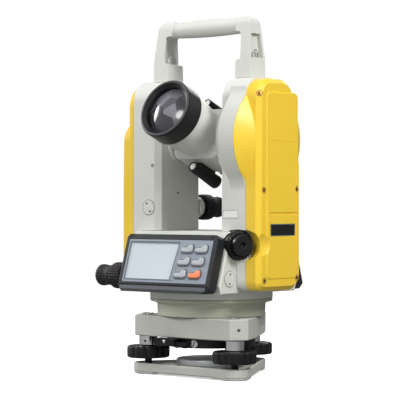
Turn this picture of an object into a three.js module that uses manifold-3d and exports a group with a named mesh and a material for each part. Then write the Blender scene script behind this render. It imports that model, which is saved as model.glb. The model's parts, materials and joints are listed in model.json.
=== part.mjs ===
// Electronic theodolite: a three-screw tribrach, an alidade that turns about the vertical
// axis, and a telescope that turns about the trunnion axis between two standards.
// Millimetres, +Z up. The origin is on the vertical axis, on the plane that the three
// pads of the base plate rest on. The instrument's front (main keyboard) faces -Y.
import * as THREE from 'three';
import { mergeVertices } from 'three/addons/utils/BufferGeometryUtils.js';
import Module from 'manifold-3d';

const wasm = await Module();
wasm.setup();

// ---------------------------------------------------------------- driving dimensions
const GAP = 0.3;                     // clearance between neighbouring pieces
const FOOT_RADIUS = 61;              // foot screws from the vertical axis
const FOOT_ANGLES = [210, 330, 90];  // degrees from +X: front left, front right, rear
const FOOT_NAMES = ['front_left', 'front_right', 'rear'];
const PLATE_TOP = 10.5;              // rim of the base plate
const PLATE_BOTTOM = 1.9;            // its underside between the corner bosses
const PAD_HEIGHT = 0.7;              // round pads under the bosses
const BOSS_START = 53;               // the bosses begin this far out
const PLATE_FLOOR = 7;               // floor of its dish
const LEAF_BOTTOM = 8.2;             // spring plate that holds the foot screws down
const LEAF_TOP = 9.4;
const KNOB_BOTTOM = 14.8;
const KNOB_TOP = 26.5;
const TRIBRACH_BOTTOM = 36.5;
const TRIBRACH_TOP = 56;
const LOWER_BASE_TOP = 72.7;         // the alidade turns just above this face
const ALIDADE_BOTTOM = 73;
const RING_RADIUS = 58.2;            // round skirt of the alidade
const BASE_HALF_WIDTH = 58;          // base block, along X
const BASE_TOP = 136;
const COVER_BOTTOM = 82;
const STANDARD_INNER = 37;           // inner face of each standard
const SEAM = 68.7;                   // plane between standard and side cover
const COVER_OUTER = 85;
const STANDARD_FRONT = -34.5;
const STANDARD_REAR = 30;
const STANDARD_TOP = 278;
const DRUM_RADIUS = 50.2;            // round bulge of the right standard
const DRUM_Y = -2.5;
const TRUNNION_Z = 221;
const AXLE_RADIUS = 8;
const KNOB_X = -46.5;                // axis of the vertical clamp and its slow-motion knob
const KNOB_Z = 158;
const KNOB_SEAT = 33.6;
const TELESCOPE_TILT = 23;           // degrees, objective end up
const HANDLE_TOP = 336;
const HANDLE_Y = -4.2;
const UPPER_SIGHT = 30.6;            // collimator sights, from the line of sight
const LOWER_SIGHT = 33.2;
const PLUMMET_ANGLE = -30;           // direction of the plummet eyepiece, degrees from +X
const PLUMMET_Z = 124;
const RELIEF_RADIUS = 14.2;          // clearance around the plummet's focusing ring
const PANEL_TILT = 17.1;             // keyboards lean back from the vertical
const PANEL_HALF_WIDTH = 51;
const PANEL_LOW = -46.4;             // edges of the key panel, from the keyboard's top edge
const PANEL_HIGH = -5.4;
const DISPLAY_BOX = [-49, -44.2, 12, -7.6];      // x0, z0, x1, z1
const KEY_ROWS = [-13.6, -25.6, -37.6];
const KEY_COLUMNS = [22.5, 39.5];
const KEY_SLANT = 0.12;              // the columns lean to the left going down

// ---------------------------------------------------------------- materials
const finish = (color, roughness, metalness = 0) => ({ color, roughness, metalness });
const BODY_GRAY = finish(0xd4d6d0, 0.5);
const RING_GRAY = finish(0xacae9e, 0.45);
const CAST_GRAY = finish(0xb6b8b0, 0.5);
const COVER_YELLOW = finish(0xf0c94c, 0.42);
const BLACK = finish(0x202022, 0.5);
const SATIN_BLACK = finish(0x2c2b2e, 0.38);
const CHROME = finish(0xd8d8d8, 0.16, 1);
const STEEL = finish(0xb9bbbd, 0.3, 1);
const GLASS = finish(0x69676e, 0.06);
const DISPLAY = finish(0xd0dae2, 0.2);
const PANEL_BLUE = finish(0x9ea8b2, 0.45);
const KEY_GRAY = finish(0xbec4c8, 0.4);
const KEY_ORANGE = finish(0xf59664, 0.4);

// ---------------------------------------------------------------- helpers
const rad = THREE.MathUtils.degToRad;
const polar = (radius, degrees) => [radius * Math.cos(rad(degrees)), radius * Math.sin(rad(degrees))];

// Solid from a three.js geometry, moved and turned first.
function solid(geometry, position = [0, 0, 0], rotation = [0, 0, 0]) {
  const euler = new THREE.Euler(rad(rotation[0]), rad(rotation[1]), rad(rotation[2]));
  const place = new THREE.Matrix4().makeRotationFromEuler(euler).setPosition(...position);
  let bare = geometry.clone().applyMatrix4(place);
  bare.deleteAttribute('normal');
  bare.deleteAttribute('uv');
  bare = mergeVertices(bare, 1e-4);
  return new wasm.Manifold(new wasm.Mesh({
    numProp: 3,
    vertProperties: Float32Array.from(bare.attributes.position.array),
    triVerts: Uint32Array.from(bare.index.array),
  }));
}

const join = (first, ...rest) => rest.reduce((sum, piece) => sum.add(piece), first);
const cut = (first, ...rest) => rest.reduce((sum, piece) => sum.subtract(piece), first);

function toGeometry(body) {
  const { numProp, vertProperties, triVerts } = body.getMesh();
  const geometry = new THREE.BufferGeometry();
  const positions = new Float32Array((vertProperties.length / numProp) * 3);
  for (let i = 0; i < positions.length / 3; i += 1) {
    for (let k = 0; k < 3; k += 1) positions[3 * i + k] = vertProperties[numProp * i + k];
  }
  geometry.setAttribute('position', new THREE.BufferAttribute(positions, 3));
  geometry.setIndex(new THREE.BufferAttribute(Uint32Array.from(triVerts), 1));
  geometry.computeVertexNormals();
  return geometry;
}

// Sides of a round piece: a multiple of four that grows with its radius.
const sidesFor = (radius) => 4 * Math.ceil((8 + 0.5 * radius) / 4);

// Body of revolution about Z from [radius, z] pairs.
function turned(profile) {
  const segments = sidesFor(Math.max(...profile.map(([r]) => r)));
  const points = profile.map(([r, z]) => new THREE.Vector2(r, z));
  const geometry = new THREE.LatheGeometry(points, segments).rotateX(Math.PI / 2);
  const body = solid(geometry);
  return body.volume() > 0 ? body : solid(geometry.scale(1, -1, 1));
}

function disc(radius, low, high) {
  const geometry = new THREE.CylinderGeometry(radius, radius, high - low, sidesFor(radius));
  return solid(geometry, [0, 0, (low + high) / 2], [90, 0, 0]);
}

function box(low, high) {
  const size = high.map((value, k) => value - low[k]);
  const centre = high.map((value, k) => (value + low[k]) / 2);
  return solid(new THREE.BoxGeometry(...size), centre);
}

// Outline extruded upwards from low to high, with rounded rims.
function slab(shape, low, high, rim = 0, curveSegments = 5) {
  const geometry = new THREE.ExtrudeGeometry(shape, {
    depth: high - low - 2 * rim, curveSegments,
    bevelEnabled: rim > 0, bevelThickness: rim, bevelSize: rim, bevelOffset: -rim, bevelSegments: 1,
  });
  return solid(geometry, [0, 0, low + rim]);
}

// The same, for an outline in the Y-Z plane, extruded along X.
const sideways = (body) => body.rotate([90, 0, 90]);

function roundedRectangle(x0, y0, x1, y1, r) {
  const shape = new THREE.Shape();
  shape.absarc(x1 - r, y0 + r, r, -Math.PI / 2, 0);
  shape.absarc(x1 - r, y1 - r, r, 0, Math.PI / 2);
  shape.absarc(x0 + r, y1 - r, r, Math.PI / 2, Math.PI);
  shape.absarc(x0 + r, y0 + r, r, Math.PI, 1.5 * Math.PI);
  shape.closePath();
  return shape;
}

const instrument = new THREE.Group();

function add(name, body, look, group = instrument) {
  const mesh = new THREE.Mesh(toGeometry(body), new THREE.MeshStandardMaterial(look));
  mesh.name = name;
  group.add(mesh);
}

// ---------------------------------------------------------------- tribrach
// Three-lobed outline through the foot screws; waist is the half-width between two lobes.
function trefoil(lobe, waist, facets) {
  const shape = new THREE.Shape();
  FOOT_ANGLES.slice().sort((a, b) => a - b).forEach((angle, index) => {
    const [cx, cy] = polar(FOOT_RADIUS, angle);
    for (let k = 0; k <= facets; k += 1) {
      const [dx, dy] = polar(lobe, angle - 60 + (120 * k) / facets);
      if (index + k === 0) shape.moveTo(cx + dx, cy + dy);
      else shape.lineTo(cx + dx, cy + dy);
    }
    const next = polar(FOOT_RADIUS, angle + 120);
    const [ex, ey] = polar(lobe, angle + 60);
    const half = FOOT_RADIUS / 2 + lobe;
    const [mx, my] = polar(half - 2 * (half - waist), angle + 60);
    shape.quadraticCurveTo(mx, my, next[0] + ex, next[1] + ey);
  });
  return shape;
}

// The cast body's outline: straight flanks and three corners cut off square to the foot screws.
function bodyOutline() {
  const shape = new THREE.Shape();
  const corner = [[57.6, -23.8], [72.8, -7.2], [72.8, 7.2], [57.6, 23.8]];
  const points = [-30, 90, 210].flatMap((angle) => corner.map(([r, turn]) => polar(r, angle + turn)));
  points.forEach(([x, y], k) => (k ? shape.lineTo(x, y) : shape.moveTo(x, y)));
  shape.closePath();
  return shape;
}

function makeTribrach() {
  const feet = FOOT_ANGLES.map((angle) => polar(FOOT_RADIUS, angle));
  const atFeet = (make) => feet.map(([x, y]) => make().translate([x, y, 0]));

  // The underside is raised between the three corner bosses, which stand on round pads.
  const plate = slab(trefoil(14, 44, 7), PLATE_BOTTOM, PLATE_TOP, 1, 4);
  const footing = slab(trefoil(13.4, 43.4, 7), PAD_HEIGHT, PLATE_BOTTOM + 2, 0, 4);
  const corner = box([BOSS_START, -40, 0], [80, 40, 5]);
  const bosses = FOOT_ANGLES.map((angle) => footing.intersect(corner.rotate([0, 0, angle])));
  const dish = slab(trefoil(11, 41, 6), PLATE_FLOOR, PLATE_TOP + 1, 0, 4);
  const pads = atFeet(() => disc(12.4, 0, 4));
  const sockets = atFeet(() => disc(4.8, 2.6, PLATE_TOP));
  add('base_plate', cut(
    join(plate, ...bosses, ...pads), dish, ...sockets, disc(16, -1, PLATE_TOP),
  ), CAST_GRAY);

  // The threaded bush takes the tripod's 5/8 inch screw.
  const bush = turned([
    [7.9, 1], [15.6, 1], [15.6, 9.8], [33, 9.8], [33, 14.6], [32.2, 15.4], [7.9, 15.4], [7.9, 1],
  ]);
  add('centre_bush', cut(bush, box([9, -1.6, 13.6], [25, 1.6, 16])), STEEL);

  const tips = atFeet(() => disc(8, LEAF_BOTTOM, LEAF_TOP));
  const spoke = box([0, -7, LEAF_BOTTOM], [FOOT_RADIUS, 7, LEAF_TOP]);
  const spokes = FOOT_ANGLES.map((angle) => spoke.rotate([0, 0, angle]));
  const studHoles = atFeet(() => disc(4.8, PLATE_FLOOR, LEAF_TOP + 1));
  const leaf = join(disc(30, LEAF_BOTTOM, LEAF_TOP), ...tips, ...spokes);
  add('spring_plate', cut(leaf, disc(16, PLATE_FLOOR, LEAF_TOP + 1), ...studHoles), STEEL);

  // Foot screws: ball end, stud, lobed knob and threaded shaft.
  feet.forEach(([x, y], index) => {
    const screw = turned([
      [0, 2.9], [4.2, 6.6], [3.4, 9.6], [3.4, KNOB_BOTTOM], [18.8, KNOB_BOTTOM], [20.4, KNOB_BOTTOM + 2],
      [20.4, KNOB_TOP - 2], [18.8, KNOB_TOP], [5, KNOB_TOP], [5, 46], [0, 46],
    ]);
    add(`foot_screw_${FOOT_NAMES[index]}`, screw.translate([x, y, 0]), BLACK);
    const sleeve = turned([
      [5.3, KNOB_TOP + 0.5], [8.4, KNOB_TOP + 0.5], [8.4, TRIBRACH_BOTTOM - GAP], [7, TRIBRACH_BOTTOM - GAP],
      [7, 47], [5.3, 47], [5.3, KNOB_TOP + 0.5],
    ]);
    add(`foot_bush_${FOOT_NAMES[index]}`, sleeve.translate([x, y, 0]), CHROME);
  });

  // Cast body, with a notch in its right flank and a lug for the round level.
  const levelAt = polar(60, 150);
  const body = slab(bodyOutline(), TRIBRACH_BOTTOM, TRIBRACH_TOP, 0.8);
  const lug = disc(10.5, 44, 52).translate([...levelAt, 0]);
  const lugArm = box([25, -8, 44], [60, 8, 52]).rotate([0, 0, 150]);
  const shaftHoles = atFeet(() => disc(7.3, TRIBRACH_BOTTOM - 1, 49));
  const notch = box([39, 3, 43.5], [60, 36, 60]).rotate([0, 0, 30]);
  const setScrew = solid(new THREE.CylinderGeometry(1.6, 1.6, 10, 12), [63.4, -36.6, 46], [0, 0, 60]);
  add('tribrach_body', cut(
    join(body, lug, lugArm), ...shaftHoles, notch, setScrew, disc(30, TRIBRACH_BOTTOM - 1, 51),
  ), CAST_GRAY);
  const level = turned([[0, 52.3], [8.5, 52.3], [8.5, 58.5], [7, 59.3], [0, 59.3]]);
  add('circular_level', level.translate([...levelAt, 0]), CHROME);

  // Swivel lock: a ring under the body, turned by a lever at the front.
  add('lock_ring', turned([[31, 27.2], [42, 27.2], [42, 36.1], [31, 36.1], [31, 27.2]]), BLACK);
  const lever = join(
    box([-24, -52, 28], [-3, -42.8, 36]),
    box([-5, -50, 27.2], [10, -42.8, 33]),
    solid(new THREE.CylinderGeometry(4, 4, 9.2, 16), [-24, -47.4, 32]),
  );
  add('lock_lever', cut(lever, disc(42.4, 20, 40)), BLACK);

  // Lower base: carries the bearing of the vertical axis and the fixed circle.
  add('lower_base', turned([
    [13.4, TRIBRACH_TOP + GAP], [51, TRIBRACH_TOP + GAP], [51.6, 67.8], [57.4, 69.6], [58, 70.6],
    [58, LOWER_BASE_TOP], [22, LOWER_BASE_TOP], [22, 75.4], [13.4, 75.4], [13.4, TRIBRACH_TOP + GAP],
  ]), RING_GRAY);
  add('horizontal_circle', turned([[15, 75.8], [44, 75.8], [44, 77.4], [15, 77.4], [15, 75.8]]), GLASS);
}

// ---------------------------------------------------------------- alidade base
// Body of revolution laid on the plummet's axis; z in the profile is distance from the vertical axis.
const onPlummet = (body) => body.rotate([0, 90, PLUMMET_ANGLE]).translate([0, 0, PLUMMET_Z]);
const plummetRelief = onPlummet(disc(RELIEF_RADIUS, 60, 110));

function makeBase() {
  const side = new THREE.Shape();
  side.moveTo(-42.9, BASE_TOP);
  side.lineTo(-57.9, 87);
  side.lineTo(-55, 79);
  side.lineTo(55, 79);
  side.lineTo(57.9, 87);
  side.lineTo(42.9, BASE_TOP);
  side.closePath();
  const block = sideways(slab(side, -BASE_HALF_WIDTH, BASE_HALF_WIDTH, 1));
  const skirt = turned([[0, ALIDADE_BOTTOM], [RING_RADIUS, ALIDADE_BOTTOM], [RING_RADIUS, 82.5], [0, 82.5]]);
  const hollow = disc(46, ALIDADE_BOTTOM - 1, 128);
  const vialTrough = box([-29, -27, 124], [29, -13, BASE_TOP + 1]);
  const plummetBore = onPlummet(disc(8.6, 30, 70));
  const base = cut(join(block, skirt), hollow, vialTrough, plummetBore, plummetRelief);
  add('alidade_base', base, BODY_GRAY);

  add('vertical_spindle', turned([
    [0, 58], [13, 58], [13, 112], [26, 115], [26, 123.6], [0, 123.6],
  ]), STEEL);
  const vial = turned([
    [0, -27], [5.6, -27], [5.6, -20], [4.8, -20], [4.8, 20], [5.6, 20], [5.6, 27], [0, 27],
  ]);
  add('plate_level', vial.rotate([0, 90, 0]).translate([0, -20, 130.2]), GLASS);
}

function makePlummet() {
  const group = new THREE.Group();
  instrument.add(group);
  const tube = turned([[5, 39], [8.2, 39], [8.2, 61.6], [5, 61.6], [5, 39]]);
  const ring = turned([
    [6.2, 62.4], [12, 62.4], [13.2, 63.8], [13.2, 72.6], [12, 74], [10.6, 74], [10.6, 71], [6.2, 71],
    [6.2, 62.4],
  ]);
  const cap = turned([[0, 71.4], [9.7, 71.4], [9.7, 82], [8.6, 83.5], [2.4, 83.5], [2.4, 80], [0, 80]]);
  const stem = disc(5.8, 64, 72);
  add('plummet_tube', onPlummet(tube), BLACK, group);
  add('plummet_focus_ring', onPlummet(ring), BLACK, group);
  add('plummet_eyepiece', onPlummet(join(cap, stem)), BLACK, group);
}

// ---------------------------------------------------------------- standards and covers
// Side outline of a standard, [Y, Z], drawn in by the given inset.
function standardShape(inset, bottom, top = STANDARD_TOP) {
  const front = STANDARD_FRONT + inset;
  const rear = STANDARD_REAR - inset;
  const corner = 19 - inset;
  const foot = 9 - inset;
  const heel = 15 - inset;
  const upperFront = front + 0.6;
  const upperRear = rear - 9;
  const crown = top - inset;
  const shoulder = Math.min(238, crown - corner - 4);
  const shape = new THREE.Shape();
  shape.absarc(front + foot, bottom + 9, foot, Math.PI, 1.5 * Math.PI);
  shape.absarc(rear - heel, bottom + 15, heel, 1.5 * Math.PI, 2 * Math.PI);
  shape.lineTo(rear, 198);
  shape.lineTo(upperRear, shoulder);
  shape.absarc(upperRear - corner, crown - corner, corner, 0, Math.PI / 2);
  shape.absarc(upperFront + corner, crown - corner, corner, Math.PI / 2, Math.PI);
  shape.lineTo(upperFront, shoulder);
  shape.lineTo(front, 180);
  shape.closePath();
  return shape;
}

// Wedge that leads the drum's rim smoothly into a straight edge of the standard.
function drumBlend(edge, out, up) {
  const angle = rad(40);
  const radius = DRUM_RADIUS - 0.05;
  const y = DRUM_Y + out * radius * Math.cos(angle);
  const z = TRUNNION_Z + up * radius * Math.sin(angle);
  const shape = new THREE.Shape();
  shape.moveTo(edge, TRUNNION_Z + up * 48);
  shape.bezierCurveTo(edge, TRUNNION_Z + up * 42, y - out * 4.5, z + up * 5.4, y, z);
  shape.lineTo(DRUM_Y + out * 20, TRUNNION_Z + up * 20);
  shape.closePath();
  return shape;
}

const alongX = (body, x, y, z) => body.rotate([0, 90, 0]).translate([x, y, z]);
const alongY = (body, x, y, z) => body.rotate([-90, 0, 0]).translate([x, y, z]);
const mirrored = (body) => body.mirror([1, 0, 0]);

function makeStandard(isRight) {
  const wall = 4;
  let casting = sideways(slab(standardShape(0, COVER_BOTTOM), STANDARD_INNER, SEAM + 8, 5, 6));
  if (isRight) {
    const drum = turned([
      [0, STANDARD_INNER], [33, STANDARD_INNER], [40, STANDARD_INNER + 3], [46, STANDARD_INNER + 8],
      [DRUM_RADIUS, STANDARD_INNER + 14], [DRUM_RADIUS, SEAM], [0, SEAM],
    ]);
    const blends = [[STANDARD_FRONT + 0.6, -1, 1], [STANDARD_FRONT, -1, -1], [STANDARD_REAR, 1, -1]];
    casting = join(casting, alongX(drum, 0, DRUM_Y, TRUNNION_Z), ...blends.map(([edge, out, up]) => (
      sideways(slab(drumBlend(edge, out, up), STANDARD_INNER + 14, SEAM + 4, 0, 6))
    )));
  }
  let inside = sideways(slab(standardShape(wall, BASE_TOP + 2), STANDARD_INNER + wall, SEAM + 9, 0, 5));
  if (isRight) inside = inside.add(alongX(disc(42, STANDARD_INNER + 8, SEAM + 9), 0, DRUM_Y, TRUNNION_Z));
  const boss = alongX(disc(21, STANDARD_INNER - 3, STANDARD_INNER + wall), 0, 0, TRUNNION_Z);
  casting = cut(
    casting.add(boss), inside,
    box([0, -90, 0], [BASE_HALF_WIDTH + GAP, 90, BASE_TOP + GAP]),
    box([SEAM, -90, 0], [120, 90, 300]),
    alongX(disc(AXLE_RADIUS + GAP, 20, 60), 0, 0, TRUNNION_Z),
  );
  if (isRight) {
    add('right_standard', cut(casting, plummetRelief), BODY_GRAY);
  } else {
    const seat = alongY(disc(10.6, STANDARD_REAR - 2, KNOB_SEAT), KNOB_X, 0, KNOB_Z);
    add('left_standard', mirrored(casting).add(seat), BODY_GRAY);
  }
}

function makeRightCover() {
  const inner = SEAM + GAP;
  const flat = COVER_OUTER - 0.8;
  const outline = standardShape(0, COVER_BOTTOM, STANDARD_TOP - 2);
  const shell = sideways(slab(outline, inner - 8, flat, 4, 6));
  const cone = alongX(turned([
    [0, inner], [DRUM_RADIUS, inner], [DRUM_RADIUS - 0.8, inner + 1], [31, inner + 11.6], [0, inner + 11.6],
  ]), 0, DRUM_Y, TRUNNION_Z);
  const panel = roundedRectangle(-23, 92.5, 24, 264, 5);
  const raised = sideways(slab(panel, COVER_OUTER - 4, COVER_OUTER, 0.8, 4));
  const inset = standardShape(3.5, COVER_BOTTOM, STANDARD_TOP - 2);
  const hollow = sideways(slab(inset, inner - 9, COVER_OUTER - 5, 2, 4));
  const clearance = (wall) => onPlummet(disc(RELIEF_RADIUS + 0.8 + wall, 60, 110));
  const thumbDish = alongX(turned([
    [0, flat - 2.4], [5, flat - 2], [9, flat - 0.8], [11, flat + 0.6], [11, flat + 3], [0, flat + 3],
  ]), 0, -30, PLUMMET_Z);
  const screwSeats = [93, 175].map((z) => alongX(disc(3.2, flat, COVER_OUTER + 1), 0, 22.5, z));
  const groove = box([flat, -19, 151], [COVER_OUTER + 1, 25, 153.5]);
  const plateBed = box([flat + 0.2, -18.5, 131.8], [COVER_OUTER + 1, 19, 143.2]);
  const ticks = [[-13, -2.5], [2.5, 13]].map(([y0, y1]) => (
    box([COVER_OUTER - 0.5, y0, 218.5], [COVER_OUTER + 1, y1, 219.3])
  ));
  const behind = box([0, -90, 0], [inner, 90, 300]);
  add('right_cover', cut(
    join(shell, cone, raised), behind, cut(hollow, clearance(3)), clearance(0), thumbDish, ...screwSeats,
    groove, plateBed, ...ticks,
  ), COVER_YELLOW);
}

function makeLeftCover() {
  const inner = SEAM + GAP;
  const lower = sideways(slab(standardShape(0, COVER_BOTTOM, 240), inner - 8, COVER_OUTER, 4, 6));
  const crown = standardShape(0, COVER_BOTTOM, STANDARD_TOP - 4);
  const upper = sideways(slab(crown, inner - 8, COVER_OUTER - 7.5, 4, 6));
  const hollow = sideways(slab(standardShape(3.5, COVER_BOTTOM, 236), inner - 9, COVER_OUTER - 4, 2, 5));
  const groove = box([COVER_OUTER - 0.8, -60, 152], [COVER_OUTER + 1, 60, 153.2]);
  const behind = box([0, -90, 0], [inner, 90, 300]);
  add('left_cover', mirrored(cut(join(lower, upper), behind, hollow, groove)), COVER_YELLOW);
  const pack = slab(roundedRectangle(-26, 96, 22, 176, 4), inner + 0.5, COVER_OUTER - 5, 1, 4);
  add('battery_pack', mirrored(sideways(pack)), BLACK);
}

// ---------------------------------------------------------------- clamp and tangent knobs
// A clamp ring with a smaller slow-motion knob on the same axis, both reaching towards +Z.
function knobPair(clampName, tangentName, place) {
  const clamp = turned([
    [3.4, 2], [9.5, 2], [9.5, 6], [11.8, 6.4], [12.6, 7.6], [12.6, 19.4], [11.6, 20.4], [6, 20.4],
    [6, 22], [3.4, 22], [3.4, 2],
  ]);
  const tangent = turned([
    [0, 0.4], [3, 0.4], [3, 22.4], [9.4, 22.4], [10.4, 23.6], [10.4, 37], [8.4, 40], [0, 40],
  ]);
  add(clampName, place(clamp), BLACK);
  add(tangentName, place(tangent), BLACK);
}

function makeKnobs() {
  knobPair('horizontal_clamp', 'horizontal_tangent', (body) => (
    body.rotate([0, -90, 0]).translate([-BASE_HALF_WIDTH, -48, 93])
  ));
  knobPair('vertical_clamp', 'vertical_tangent', (body) => (
    alongY(body.scale([1, 1, 0.85]), KNOB_X, KNOB_SEAT + 0.4, KNOB_Z)
  ));
}

// ---------------------------------------------------------------- handle
function makeHandle() {
  const legShape = new THREE.Shape();
  legShape.moveTo(HANDLE_Y - 11.8, STANDARD_TOP + GAP);
  legShape.lineTo(HANDLE_Y + 11.8, STANDARD_TOP + GAP);
  legShape.lineTo(HANDLE_Y + 11.6, 296);
  legShape.lineTo(HANDLE_Y + 8.2, 328);
  legShape.absarc(HANDLE_Y + 0.2, 328, 8, 0, Math.PI / 2);
  legShape.absarc(HANDLE_Y - 0.2, 328, 8, Math.PI / 2, Math.PI);
  legShape.lineTo(HANDLE_Y - 11.6, 296);
  legShape.closePath();
  const halves = [1, -1].map((sign) => {
    const side = new THREE.Shape();
    side.moveTo(59, STANDARD_TOP);
    side.lineTo(59, 296);
    side.lineTo(56, 328);
    side.absarc(48, 328, 8, 0, Math.PI / 2);
    side.lineTo(40, HANDLE_TOP);
    side.lineTo(40, 322);
    side.lineTo(43.4, 322);
    side.quadraticCurveTo(46.2, 321.6, 46.5, 317.5);
    side.lineTo(47.5, 296);
    side.lineTo(42, 294.5);
    side.lineTo(41.5, STANDARD_TOP);
    side.closePath();
    const outline = slab(side, -60, 60, 0, 6).rotate([90, 0, 0]);
    let leg = sideways(slab(legShape, 30, 70, 0, 6)).intersect(outline);
    const pocket = new THREE.Shape();
    pocket.moveTo(HANDLE_Y - 9, 297);
    pocket.lineTo(HANDLE_Y + 9, 297);
    pocket.lineTo(HANDLE_Y + 6.6, 319.5);
    pocket.lineTo(HANDLE_Y - 6.6, 319.5);
    pocket.closePath();
    const pockets = [[44, 50.6], [53, 70]].map(([low, high]) => sideways(slab(pocket, low, high, 0, 4)));
    leg = cut(leg, ...pockets);
    return sign > 0 ? leg : mirrored(leg);
  });
  const belly = (x) => [7 + 1.4 * Math.cos((Math.PI * x) / 92), x];
  const bar = turned([[0, -44], ...[-44, -30, -15, 0, 15, 30, 44].map(belly), [0, 44]]);
  const grip = alongX(bar, 0, HANDLE_Y, HANDLE_TOP - 8.4);
  add('handle', join(grip, ...halves), BODY_GRAY);
}

// ---------------------------------------------------------------- keyboards
// Keyboard frame: X across, +Z up the face, -Y out of it, origin at the middle of the face's top edge.

const flatOn = (body) => body.rotate([90, 0, 0]);   // outline in X-Z, extruded towards -Y

// Kidney-shaped key top: a low step on the left and a raised tail on the right.
function keyShape(grow) {
  const shape = new THREE.Shape();
  shape.absarc(-4.6, -1.4, 2.4 + grow, Math.PI / 2, 1.5 * Math.PI);
  shape.absarc(3.4, -1, 2.8 + grow, -Math.PI / 2, 0);
  shape.absarc(4.2, 1.8, 2 + grow, 0, Math.PI / 2);
  shape.bezierCurveTo(1.6, 4 + grow, 1.4, 1 + grow, -1.4, 1 + grow);
  shape.closePath();
  return shape;
}

function makeKeyboard(side) {
  const group = new THREE.Group();
  const turn = side === 'front' ? 0 : 180;
  group.rotation.set(rad(-PANEL_TILT), 0, 0);
  group.position.set(0, -57, 133.5);
  const facing = new THREE.Group();
  facing.rotation.z = rad(turn);
  facing.add(group);
  instrument.add(facing);

  const outline = new THREE.Shape();
  [[-49, -57], [49, -57], [55.5, -50], [55.5, -3], [52.5, 0], [-52.5, 0], [-55.5, -3], [-55.5, -50]]
    .forEach(([x, z], k) => (k ? outline.lineTo(x, z) : outline.moveTo(x, z)));
  const underside = box([-60, -9, -30], [60, 40, 0]).rotate([PANEL_TILT, 0, 0]).translate([0, 0, -56]);
  const blank = flatOn(slab(outline, -12.4, 0, 1.2)).subtract(underside);
  const recess = roundedRectangle(
    -PANEL_HALF_WIDTH - GAP, PANEL_LOW - GAP, PANEL_HALF_WIDTH + GAP, PANEL_HIGH + GAP, 1.5,
  );
  const bed = flatOn(slab(recess, -3, 1, 0, 2));
  const groove = box([-60, -1, -49.4], [60, 0.9, -48.4]);
  const hollow = flatOn(slab(roundedRectangle(-48, -44, 48, -8, 2), -7.2, -2, 0, 2));
  const rearOpening = box([-10, 5, -30], [10, 16, -15]);
  add(`keyboard_housing_${side}`, cut(blank, bed, hollow, groove, rearOpening), BLACK, group);

  const [x0, z0, x1, z1] = DISPLAY_BOX;
  const atKey = (body, x, z) => body.translate([x + (z - KEY_ROWS[0]) * KEY_SLANT, 0, z]);
  const keyHoles = KEY_ROWS.flatMap((z) => KEY_COLUMNS.map((x) => (
    atKey(flatOn(slab(keyShape(GAP), -9, 3, 0, 2)), x, z)
  )));
  const face = roundedRectangle(-PANEL_HALF_WIDTH, PANEL_LOW, PANEL_HALF_WIDTH, PANEL_HIGH, 1.2);
  const plate = flatOn(slab(face, -2.4, -0.2, 0, 2));
  const windowHole = box([x0 - GAP, -2, z0 - GAP], [x1 + GAP, 6, z1 + GAP]);
  add(`key_panel_${side}`, cut(plate, windowHole, ...keyHoles), PANEL_BLUE, group);
  add(`display_${side}`, flatOn(slab(roundedRectangle(x0, z0, x1, z1, 1), -2.6, -0.9, 0, 2)), DISPLAY, group);

  KEY_ROWS.forEach((z, row) => KEY_COLUMNS.forEach((x, column) => {
    const isPower = row === 2 && column === 1;
    const key = atKey(flatOn(slab(keyShape(0), -5, 1.2, 0.5, 2)), x, z);
    add(`key_${side}_${row + 1}${'ab'[column]}`, key, isPower ? KEY_ORANGE : KEY_GRAY, group);
  }));
}

// ---------------------------------------------------------------- telescope
// Telescope frame: +Z along the line of sight, +Y up when level, origin on the trunnion axis.
function makeTelescope() {
  const group = new THREE.Group();
  group.position.set(0, 0, TRUNNION_Z);
  group.rotation.x = rad(90 - TELESCOPE_TILT);
  instrument.add(group);

  const barrel = turned([
    [16, -34], [20.5, -30], [22.6, -16], [23.6, 0], [24, 16], [25.6, 30], [27, 42], [27.3, 54], [23, 54],
    [20, 20], [9, -34], [16, -34],
  ]);
  const hub = slab(roundedRectangle(-28, -25.5, 28, 25.5, 10), -17, 19, 3, 4);
  const bores = turned([[0, 54.5], [23, 54.5], [20, 20], [9, -34.5], [0, -34.5]]);
  const axles = alongX(disc(AXLE_RADIUS, -50, 50), 0, 0, 0);
  const shoulders = alongX(disc(18, -33, 33), 0, 0, 0);
  const mounts = [1, -1].map((up) => box([-4, up > 0 ? 24 : -26.1, -14], [4, up > 0 ? 26.1 : -24, 10]));
  add('telescope_body', cut(join(barrel, hub, shoulders, axles, ...mounts), bores), BODY_GRAY, group);

  add('objective_hood', turned([
    [22.6, 54.3], [28.7, 54.3], [28.7, 72.6], [27.6, 74], [25.8, 74], [23.4, 71.6], [22.6, 70.8],
    [22.6, 54.3],
  ]), SATIN_BLACK, group);
  add('objective_lens', turned([
    [0, 62], [12, 62.4], [22.2, 65], [22.2, 69], [18, 70.6], [12, 71.8], [6, 72.4], [0, 72.6],
  ]), GLASS, group);

  add('focus_ring', turned([
    [9.4, -51], [19, -51], [21, -49.2], [21, -36], [19.4, -34.4], [9.4, -34.4], [9.4, -51],
  ]), BLACK, group);
  add('eyepiece', turned([
    [3, -51.4], [13.6, -51.4], [14, -54], [14, -64], [12.4, -66], [12.4, -73.4], [11, -75], [4.4, -75],
    [3, -71], [3, -51.4],
  ]), BLACK, group);

  // Collimator sights: a slim one on top, a stouter one below.
  const sight = (offset, rear, front, end) => {
    const tube = turned([[0, -22], [rear, -22], [front, end], [0, end]]);
    const bores = [disc(3.3, end - 1, end + 1), disc(2, -24, -20.6)];
    const web = box([-4, 26.4 - offset, -13], [4, 0, 9]);
    return cut(tube.add(web), ...bores).translate([0, offset, 0]);
  };
  add('sight_upper', sight(UPPER_SIGHT, 4.4, 4.1, 20), BLACK, group);
  add('sight_lower', sight(LOWER_SIGHT, 6.6, 5, 16).mirror([0, 1, 0]), BLACK, group);
}

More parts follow.
